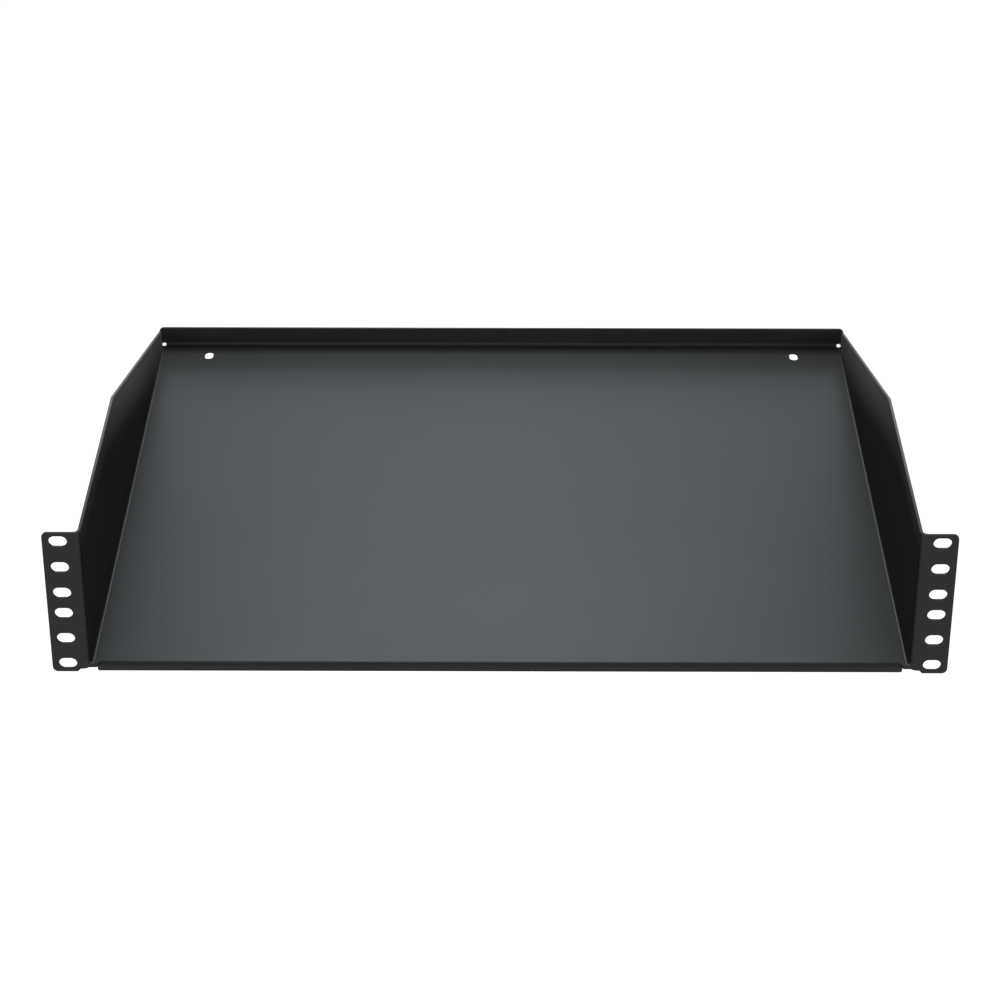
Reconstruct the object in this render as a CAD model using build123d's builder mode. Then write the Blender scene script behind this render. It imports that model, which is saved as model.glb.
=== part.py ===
"""Two-unit, 19-inch cantilever rack shelf folded from one sheet of steel."""
import os

from build123d import *

# Sheet and the inner radii of its bends, in millimetres
sheet = 1.5
bend_in = 2.0
bend_out = bend_in + sheet
front_bend_in = 2.5
front_bend_out = front_bend_in + sheet

# Rack hole grid: three holes to each unit, in two hole columns
hole_pitch = 15.875
unit_gap = 12.7
rack_unit = 2 * hole_pitch + unit_gap
column_spacing = 465.1
slot_length = 9.7
slot_height = 6.4

# Ears: flanges that lie on the rack rails, a little lower than two units
ear_clearance = 2.1
ear_edge = 8.45
ear_corner = 3.0
ear_step = 1.7
ear_step_gap = 1.2

# Body: its walls stand clear of the hole columns
wall_offset = 10.4
depth = 380.0
wall_level = 150.0
wall_end_drop = 2.1
rear_lip = 11.8
rear_lip_corner = 3.0
front_lip_flat = 0.2
front_lip_slant = 0.33

# Reliefs and clearances
seam_gap = 0.3
slit_gap = 0.2
slit_from_fold = 4.6
slit_slant = 0.8
lip_from_fold = 1.35
lip_clearance = 0.6
tab_drop = 0.7
tab_reach = 1.0
relief_hole = 2.9
relief_from_wall = 1.2
relief_from_lip = 0.4

# Tie slots near the back of the pan
pan_slot_length = 10.8
pan_slot_width = 5.4
pan_slot_from_wall = 33.25
pan_slot_from_rear = 16.6

# Placing: ear seating faces at y = 0, the hole grid centred on z = 0
column = column_spacing / 2
ear_out = column + ear_edge
wall_out = column - wall_offset
wall_in = wall_out - sheet
wall_fold = wall_out - bend_out
ear_bend = wall_out + front_bend_in
slit_x = wall_fold - slit_from_fold
slit_aim = (1, slit_slant, 0)
top = rack_unit - ear_clearance / 2
bottom = -top
step_top = bottom + ear_step
lip_bottom = bottom + lip_clearance
pan_top = lip_bottom + front_lip_flat + front_bend_out
pan_under = pan_top - sheet
tab_bottom = pan_under - tab_drop
lip_top = pan_top + rear_lip
front = -sheet
front_bend = front + front_bend_out
rear = front + depth
rear_bend = rear - bend_out
lip_face = rear - sheet
wall_end = lip_face - seam_gap

# Channel: half the pan with one wall folded up from it
with BuildPart() as channel:
    with BuildSketch(Plane.XZ.offset(-front_bend)):
        with BuildLine():
            FilletPolyline((0, pan_top), (wall_in, pan_top), (wall_in, top), radius=bend_in)
            offset(amount=sheet, side=Side.RIGHT)
        make_face()
    extrude(amount=front_bend - rear_bend)
    with BuildSketch(Plane.XY.offset(pan_top + bend_in)):
        with Locations((wall_in, rear_bend)):
            Rectangle(sheet, wall_end - rear_bend, align=(Align.MIN, Align.MIN))
    extrude(amount=top - pan_top - bend_in)
    with BuildSketch(Plane.YZ.offset(wall_in)):
        with BuildLine():
            Polyline((wall_level, top), (wall_end, lip_top - wall_end_drop), (wall_end, top), close=True)
        make_face()
    extrude(amount=sheet, mode=Mode.SUBTRACT)

# Rear lip: folded up behind the wall end, with a rounded top corner
with BuildPart() as back_lip:
    with BuildSketch(Plane.YZ):
        with BuildLine():
            fold = JernArc((rear_bend, pan_top), (1, 0), bend_in, 90)
            Line(fold @ 1, (lip_face, lip_top))
            offset(amount=sheet, side=Side.RIGHT)
        make_face()
    extrude(amount=wall_out)
    fillet(back_lip.edges().filter_by(Axis.Y).group_by(Axis.Z)[-1].sort_by(Axis.X)[-1], rear_lip_corner)

# Front lip: folded down, its slanted end freed by the slit
with BuildPart() as nose:
    with BuildSketch(Plane.YZ):
        with BuildLine():
            roll = JernArc((front_bend, pan_top), (-1, 0), front_bend_out, 90)
            Line(roll @ 1, (front, lip_bottom))
            offset(amount=sheet, side=Side.LEFT)
        make_face()
    extrude(amount=wall_fold)
    split(bisect_by=Plane((slit_x, front_bend, 0), z_dir=slit_aim), keep=Keep.BOTTOM)
    lip_end = Plane((wall_fold - lip_from_fold, 0, pan_under), z_dir=(1, 0, -front_lip_slant))
    split(bisect_by=lip_end, keep=Keep.BOTTOM)

# Front corner: the wall and its fold turn outwards into the ear, above a tab turned down like the lip
with BuildPart() as corner:
    with BuildSketch(Plane.XZ.offset(-front_bend)):
        with BuildLine():
            FilletPolyline((slit_x, pan_top), (wall_in, pan_top), (wall_in, top), radius=bend_in)
            offset(amount=sheet, side=Side.RIGHT)
        make_face()
    revolve(axis=Axis((ear_bend, front_bend, 0), (0, 0, 1)), revolution_arc=90)
    split(bisect_by=Plane.XZ.offset(sheet), keep=Keep.BOTTOM)
    with BuildSketch(Plane.XZ):
        with Locations((wall_out + tab_reach, tab_bottom)):
            Rectangle(wall_out + tab_reach - slit_x, tab_drop + sheet / 2, align=(Align.MAX, Align.MIN))
    extrude(amount=sheet)
    split(bisect_by=Plane((slit_x, front_bend, 0), z_dir=slit_aim).offset(slit_gap), keep=Keep.TOP)
    with BuildSketch(Plane.XY.offset(step_top)):
        with BuildLine():
            JernArc((wall_in, front_bend), (0, -1), front_bend_out, 90)
            offset(amount=sheet, side=Side.LEFT)
        make_face()
    extrude(amount=pan_top - step_top)

# Ear: the plate with its slots, stepped up beside the bend
with BuildPart() as ear:
    with BuildSketch(Plane.XZ) as plate:
        with BuildLine():
            Polyline(
                (ear_bend, top),
                (ear_out, top),
                (ear_out, bottom),
                (ear_bend + ear_step_gap + ear_step, bottom),
                (ear_bend + ear_step_gap, step_top),
                (ear_bend, step_top),
                close=True,
            )
        make_face()
        fillet(plate.vertices().group_by(Axis.X)[-1], ear_corner)
        rows = [unit_gap / 2 + i * hole_pitch for i in range(3)]
        with Locations([(column, side * z) for z in rows for side in (1, -1)]):
            SlotOverall(slot_length, slot_height, mode=Mode.SUBTRACT)
    extrude(amount=sheet)

# Whole sheet: one half joined up, drilled and mirrored
with BuildPart() as shelf:
    add(channel.part)
    add(back_lip.part)
    add(nose.part)
    add(corner.part)
    add(ear.part)
    with BuildSketch(Plane.XY.offset(pan_top)):
        with Locations((wall_out - pan_slot_from_wall, rear - pan_slot_from_rear)):
            SlotOverall(pan_slot_length, pan_slot_width, rotation=90)
    extrude(amount=-sheet, mode=Mode.SUBTRACT)
    relief_spot = (wall_in - relief_from_wall, lip_face - relief_from_lip, pan_top)
    with BuildSketch(Plane(relief_spot, x_dir=(1, 0, 0), z_dir=(0, 1, -1))):
        Circle(relief_hole / 2)
    extrude(amount=bend_out, both=True, mode=Mode.SUBTRACT)
    mirror(about=Plane.YZ)

os.makedirs("parts", exist_ok=True)
shelf.part.label = "folded_shelf"
export_step(shelf.part, "parts/folded_shelf.step")
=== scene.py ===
"""Black powder-coated rack shelf, seen from the front and above against white."""
from math import radians

import bpy
from mathutils import Matrix, Vector


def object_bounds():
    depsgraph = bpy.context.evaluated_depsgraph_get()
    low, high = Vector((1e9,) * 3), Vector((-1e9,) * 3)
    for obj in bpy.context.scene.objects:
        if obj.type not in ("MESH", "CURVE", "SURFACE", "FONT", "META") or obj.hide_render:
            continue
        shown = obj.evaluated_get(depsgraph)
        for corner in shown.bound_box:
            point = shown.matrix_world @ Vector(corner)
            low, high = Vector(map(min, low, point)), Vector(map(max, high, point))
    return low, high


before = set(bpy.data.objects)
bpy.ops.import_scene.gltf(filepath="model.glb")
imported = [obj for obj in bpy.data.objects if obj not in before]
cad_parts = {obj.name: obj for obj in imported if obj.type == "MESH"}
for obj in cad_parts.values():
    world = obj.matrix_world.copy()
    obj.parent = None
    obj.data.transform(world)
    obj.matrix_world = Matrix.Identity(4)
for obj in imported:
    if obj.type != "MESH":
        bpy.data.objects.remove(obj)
cad_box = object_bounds()

# Camera, in metres and degrees, with its focal length in millimetres on a full-frame sensor
CAMERA_PLACE = (0.00199, -1.31140, 0.82337)
CAMERA_PAN = 0.0914
CAMERA_TILT = 30.0989
CAMERA_ROLL = 0.0901
SENSOR_WIDTH = 36.0
FOCAL_LENGTH = 104.67

# Powder coat, satin black
COAT_DARK = (0.0225, 0.0225, 0.0225, 1.0)
COAT_LIGHT = (0.0275, 0.0275, 0.0275, 1.0)
COAT_IOR = 1.5
COAT_SPECULAR = 0.5
ROUGHNESS_LOW = 0.40
ROUGHNESS_HIGH = 0.45
PEEL_PER_METRE = 700.0
PEEL_HEIGHT = 0.00002
PEEL_STRENGTH = 0.3
CLOUDS_PER_METRE = 18.0
SPECKS_PER_METRE = 2500.0
FINE_DETAIL = 1.0
CLOUD_DETAIL = 2.0

# Insides of the walls, which get a copy of the coat with almost no gloss as painted shade (the real walls
# wear the same coat), and where they end at the folds and the ear bends
WALL_SHADE_SPECULAR = 0.002
WALL_STEEPNESS = 0.45
WALL_FOOT = 0.2195
EAR_BEND = (0.22465, 0.0025)
EAR_BEND_SHARE = 0.85
BEND_STEEPNESS = 0.9
LEVEL_TILT = 0.01

# Edges of the sheet
EDGE_ROUND = 0.00012
EDGE_SEGMENTS = 2
EDGE_ANGLE = 40.0
FLAT_ANGLE = 0.5
WELD_DISTANCE = 1e-6
COAT_SLOT = 0

# Studio floor and surroundings
WHITE = (1.0, 1.0, 1.0, 1.0)
WHITE_STRENGTH = 1.0
FLOOR_DROP = 0.6
FLOOR_SIZE = 60.0
FLOOR_COLOUR = (0.6, 0.6, 0.6, 1.0)
FLOOR_GLOW = 0.9
FLOOR_GLOW_REFLECTED = 0.28
FILL_STRENGTH = 0.2
BACKDROP_COLOUR = (0.90, 1.0, 1.05, 1.0)
BACKDROP_STRENGTH = 3.4
BACKDROP_SIDES = (0.86, 0.99)
BACKDROP_TOP = (0.5, 0.2)
BACKDROP_BOTTOM = (0.04, 0.16)

# Lamps: one behind, a pair in front and a pair of low strips that graze the wall tops
LAMP_AIM = (0.0, 0.19, -0.03)
OPEN_SPREAD = 180.0
BACK_PLACE = (-0.03, 1.11, 1.075)
BACK_SIZE = (0.58, 0.70)
BACK_POWER = 4.5
BACK_COLOUR = (0.90, 1.0, 1.05)
SIDE_PLACE = (2.0, -2.4, 1.1)
SIDE_SIZE = (1.2, 1.2)
SIDE_POWER = 2.7
SIDE_SPREAD = 60.0
SIDE_COLOUR = (1.0, 1.0, 0.97)
STRIP_PLACE = (1.8, 0.30, 0.043)
STRIP_SIZE = (0.15, 0.10)
STRIP_POWER = 0.7
STRIP_SPREAD = 18.0
STRIP_AIM = (0.0, 0.23, 0.0)


def new_tree(owner):
    """Node tree of a material or world, emptied."""
    owner.use_nodes = True
    owner.node_tree.nodes.clear()
    return owner.node_tree


def finish_tree(tree, kind, surface):
    """Join the last shader of a tree to its output."""
    output = tree.nodes.new(kind)
    tree.links.new(surface, output.inputs["Surface"])


def combine(tree, operation, *values):
    """Arithmetic on values that are sockets or plain numbers."""
    node = tree.nodes.new("ShaderNodeMath")
    node.operation = operation
    for socket, value in zip(node.inputs, values):
        if isinstance(value, float):
            socket.default_value = value
        else:
            tree.links.new(value, socket)
    return node.outputs[0]


def mix_shaders(tree, share, first, second):
    """The first shader, replaced by so large a share of the second."""
    node = tree.nodes.new("ShaderNodeMixShader")
    for socket, value in zip(node.inputs, (share, first, second)):
        tree.links.new(value, socket)
    return node.outputs[0]


def noise(tree, per_metre, detail):
    """Noise fixed to the object, with so many cells to a metre."""
    place = tree.nodes.new("ShaderNodeTexCoord")
    texture = tree.nodes.new("ShaderNodeTexNoise")
    texture.inputs["Scale"].default_value = per_metre
    texture.inputs["Detail"].default_value = detail
    tree.links.new(place.outputs["Object"], texture.inputs["Vector"])
    return texture.outputs["Fac"]


def coat_material(name, specular):
    """Satin black powder coat: fine orange peel, faint specks and slightly uneven gloss."""
    material = bpy.data.materials.new(name)
    tree = new_tree(material)
    shader = tree.nodes.new("ShaderNodeBsdfPrincipled")
    shader.inputs["IOR"].default_value = COAT_IOR
    shader.inputs["Specular IOR Level"].default_value = specular
    colour = tree.nodes.new("ShaderNodeMix")
    colour.data_type = "RGBA"
    tree.links.new(noise(tree, SPECKS_PER_METRE, FINE_DETAIL), colour.inputs["Factor"])
    colour.inputs["A"].default_value = COAT_DARK
    colour.inputs["B"].default_value = COAT_LIGHT
    gloss = tree.nodes.new("ShaderNodeMapRange")
    tree.links.new(noise(tree, CLOUDS_PER_METRE, CLOUD_DETAIL), gloss.inputs["Value"])
    gloss.inputs["To Min"].default_value = ROUGHNESS_LOW
    gloss.inputs["To Max"].default_value = ROUGHNESS_HIGH
    peel = tree.nodes.new("ShaderNodeBump")
    peel.inputs["Strength"].default_value = PEEL_STRENGTH
    peel.inputs["Distance"].default_value = PEEL_HEIGHT
    tree.links.new(noise(tree, PEEL_PER_METRE, FINE_DETAIL), peel.inputs["Height"])
    tree.links.new(colour.outputs["Result"], shader.inputs["Base Color"])
    tree.links.new(gloss.outputs["Result"], shader.inputs["Roughness"])
    tree.links.new(peel.outputs["Normal"], shader.inputs["Normal"])
    finish_tree(tree, "ShaderNodeOutputMaterial", shader.outputs[0])
    return material


def faces_inward(place, normal):
    """Whether a spot lies on the inside of a wall, down to its fold and forward to the ear bend."""
    if normal.z < -LEVEL_TILT or normal.x * place.x > 0:
        return False
    if place.y > EAR_BEND[1]:
        return abs(normal.x) > WALL_STEEPNESS
    across = Vector((EAR_BEND[0] - abs(place.x), EAR_BEND[1] - place.y)).normalized()
    on_bend = abs(place.x) > WALL_FOOT and across.x > EAR_BEND_SHARE
    return on_bend and max(abs(normal.y), normal.z) < BEND_STEEPNESS


def box_limits():
    """Geometry nodes that hold every point inside the CAD box."""
    tree = bpy.data.node_groups.new("inside_box", "GeometryNodeTree")
    tree.interface.new_socket("Sheet", in_out="INPUT", socket_type="NodeSocketGeometry")
    tree.interface.new_socket("Sheet", in_out="OUTPUT", socket_type="NodeSocketGeometry")
    start = tree.nodes.new("NodeGroupInput")
    move = tree.nodes.new("GeometryNodeSetPosition")
    end = tree.nodes.new("NodeGroupOutput")
    place = tree.nodes.new("GeometryNodeInputPosition").outputs[0]
    for operation, corner in (("MAXIMUM", cad_box[0]), ("MINIMUM", cad_box[1])):
        limit = tree.nodes.new("ShaderNodeVectorMath")
        limit.operation = operation
        limit.inputs[1].default_value = corner
        tree.links.new(place, limit.inputs[0])
        place = limit.outputs[0]
    tree.links.new(start.outputs[0], move.inputs["Geometry"])
    tree.links.new(place, move.inputs["Position"])
    tree.links.new(move.outputs[0], end.inputs[0])
    return tree


def dress_shelf():
    """Coat the sheet and round its cut edges a little."""
    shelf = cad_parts["folded_shelf"]
    mesh = shelf.data
    mesh.materials[COAT_SLOT] = coat_material("satin_black_coat", COAT_SPECULAR)
    # The wall insides get a duller copy of the coat, painted shade that keeps them dark; the real walls
    # wear the same coat as the rest
    mesh.materials.append(coat_material("wall_shade_coat", WALL_SHADE_SPECULAR))
    for face in mesh.polygons:
        face.material_index = COAT_SLOT + faces_inward(face.center, face.normal)
    mesh.attributes.remove(mesh.attributes["custom_normal"])
    mesh.shade_smooth()
    weld = shelf.modifiers.new("weld", "WELD")
    weld.merge_threshold = WELD_DISTANCE
    flats = shelf.modifiers.new("flats", "DECIMATE")
    flats.decimate_type = "DISSOLVE"
    flats.angle_limit = radians(FLAT_ANGLE)
    flats.delimit = {"MATERIAL"}
    edges = shelf.modifiers.new("edges", "BEVEL")
    edges.width = EDGE_ROUND
    edges.segments = EDGE_SEGMENTS
    edges.material = COAT_SLOT
    edges.limit_method = "ANGLE"
    edges.angle_limit = radians(EDGE_ANGLE)
    edges.use_clamp_overlap = False
    edges.miter_outer = "MITER_ARC"
    shelf.modifiers.new("inside", "NODES").node_group = box_limits()
    normals = shelf.modifiers.new("normals", "WEIGHTED_NORMAL")
    normals.keep_sharp = True


def make_floor():
    """Pale floor well below the shelf, white where it is lit and seen."""
    half = FLOOR_SIZE / 2
    level = cad_box[0].z - FLOOR_DROP
    mesh = bpy.data.meshes.new("floor")
    corners = [(-half, -half, level), (half, -half, level), (half, half, level), (-half, half, level)]
    mesh.from_pydata(corners, [], [(0, 1, 2, 3)])
    floor = bpy.data.objects.new("floor", mesh)
    bpy.context.collection.objects.link(floor)
    material = bpy.data.materials.new("pale_floor")
    tree = new_tree(material)
    paint = tree.nodes.new("ShaderNodeBsdfDiffuse")
    paint.inputs["Color"].default_value = FLOOR_COLOUR
    path = tree.nodes.new("ShaderNodeLightPath").outputs
    straight = combine(tree, "MAXIMUM", path["Is Camera Ray"], path["Is Transmission Ray"])
    seen = combine(tree, "MULTIPLY", straight, FLOOR_GLOW)
    strength = combine(tree, "MULTIPLY_ADD", path["Is Glossy Ray"], FLOOR_GLOW_REFLECTED, seen)
    glow = tree.nodes.new("ShaderNodeEmission")
    glow.inputs["Color"].default_value = WHITE
    tree.links.new(strength, glow.inputs["Strength"])
    both = tree.nodes.new("ShaderNodeAddShader")
    tree.links.new(paint.outputs[0], both.inputs[0])
    tree.links.new(glow.outputs[0], both.inputs[1])
    finish_tree(tree, "ShaderNodeOutputMaterial", both.outputs[0])
    mesh.materials.append(material)


def background(tree, colour, strength):
    """Even light from far away."""
    light = tree.nodes.new("ShaderNodeBackground")
    light.inputs["Color"].default_value = colour
    light.inputs["Strength"].default_value = strength
    return light.outputs[0]


def fade(tree, value, limits):
    """Smooth step of a value, from nothing at the first limit to all at the second."""
    step = tree.nodes.new("ShaderNodeMapRange")
    step.interpolation_type = "SMOOTHSTEP"
    tree.links.new(value, step.inputs["Value"])
    step.inputs["From Min"].default_value = limits[0]
    step.inputs["From Max"].default_value = limits[1]
    return step.outputs["Result"]


def make_world():
    """White where the camera looks, a low glow behind the shelf in its gloss, and a dim fill elsewhere."""
    world = bpy.data.worlds.new("studio")
    bpy.context.scene.world = world
    tree = new_tree(world)
    direction = tree.nodes.new("ShaderNodeTexCoord")
    parts = tree.nodes.new("ShaderNodeSeparateXYZ")
    tree.links.new(direction.outputs["Generated"], parts.inputs[0])
    behind = fade(tree, parts.outputs["Y"], BACKDROP_SIDES)
    low = fade(tree, parts.outputs["Z"], BACKDROP_TOP)
    raised = fade(tree, parts.outputs["Z"], BACKDROP_BOTTOM)
    covered = combine(tree, "MULTIPLY", behind, combine(tree, "MULTIPLY", low, raised))
    path = tree.nodes.new("ShaderNodeLightPath").outputs
    straight = combine(tree, "MAXIMUM", path["Is Camera Ray"], path["Is Transmission Ray"])
    mirrored = combine(tree, "MULTIPLY", path["Is Glossy Ray"], covered)
    fill = background(tree, WHITE, FILL_STRENGTH)
    backdrop = background(tree, BACKDROP_COLOUR, BACKDROP_STRENGTH)
    room = mix_shaders(tree, mirrored, fill, backdrop)
    view = mix_shaders(tree, straight, room, background(tree, WHITE, WHITE_STRENGTH))
    finish_tree(tree, "ShaderNodeOutputWorld", view)


def make_softbox(name, place, size, power, colour, spread=OPEN_SPREAD, aim=LAMP_AIM):
    """Rectangular softbox aimed at the shelf."""
    data = bpy.data.lights.new(name, "AREA")
    data.shape = "RECTANGLE"
    data.size, data.size_y = size
    data.energy = power
    data.spread = radians(spread)
    data.color = colour
    softbox = bpy.data.objects.new(name, data)
    softbox.visible_camera = False
    beam = Vector(aim) - Vector(place)
    softbox.matrix_world = Matrix.Translation(place) @ beam.to_track_quat("-Z", "Y").to_matrix().to_4x4()
    bpy.context.collection.objects.link(softbox)
    return softbox


def make_side_lamps(side):
    """Lamp in front of one side, and the strip beside it, which isn't mirrored in the gloss."""
    mirror = Vector((side, 1, 1))
    place = Vector(SIDE_PLACE) * mirror
    make_softbox(f"side_softbox_{side}", place, SIDE_SIZE, SIDE_POWER, SIDE_COLOUR, SIDE_SPREAD)
    place = Vector(STRIP_PLACE) * mirror
    strip = make_softbox(
        f"side_strip_{side}", place, STRIP_SIZE, STRIP_POWER, SIDE_COLOUR, STRIP_SPREAD, STRIP_AIM
    )
    strip.visible_glossy = False


def make_camera():
    """Camera in front of the shelf, looking down on it."""
    data = bpy.data.cameras.new("camera")
    data.sensor_width = SENSOR_WIDTH
    data.lens = FOCAL_LENGTH
    camera = bpy.data.objects.new("camera", data)
    turn = Matrix.Rotation(radians(CAMERA_PAN), 4, "Z")
    tilt = Matrix.Rotation(radians(90 - CAMERA_TILT), 4, "X")
    roll = Matrix.Rotation(radians(CAMERA_ROLL), 4, "Z")
    camera.matrix_world = Matrix.Translation(CAMERA_PLACE) @ turn @ tilt @ roll
    bpy.context.collection.objects.link(camera)
    bpy.context.scene.camera = camera


dress_shelf()
make_floor()
make_world()
make_softbox("back_softbox", BACK_PLACE, BACK_SIZE, BACK_POWER, BACK_COLOUR)
for side in (-1, 1):
    make_side_lamps(side)
make_camera()
bpy.context.scene.view_settings.view_transform = "Standard"
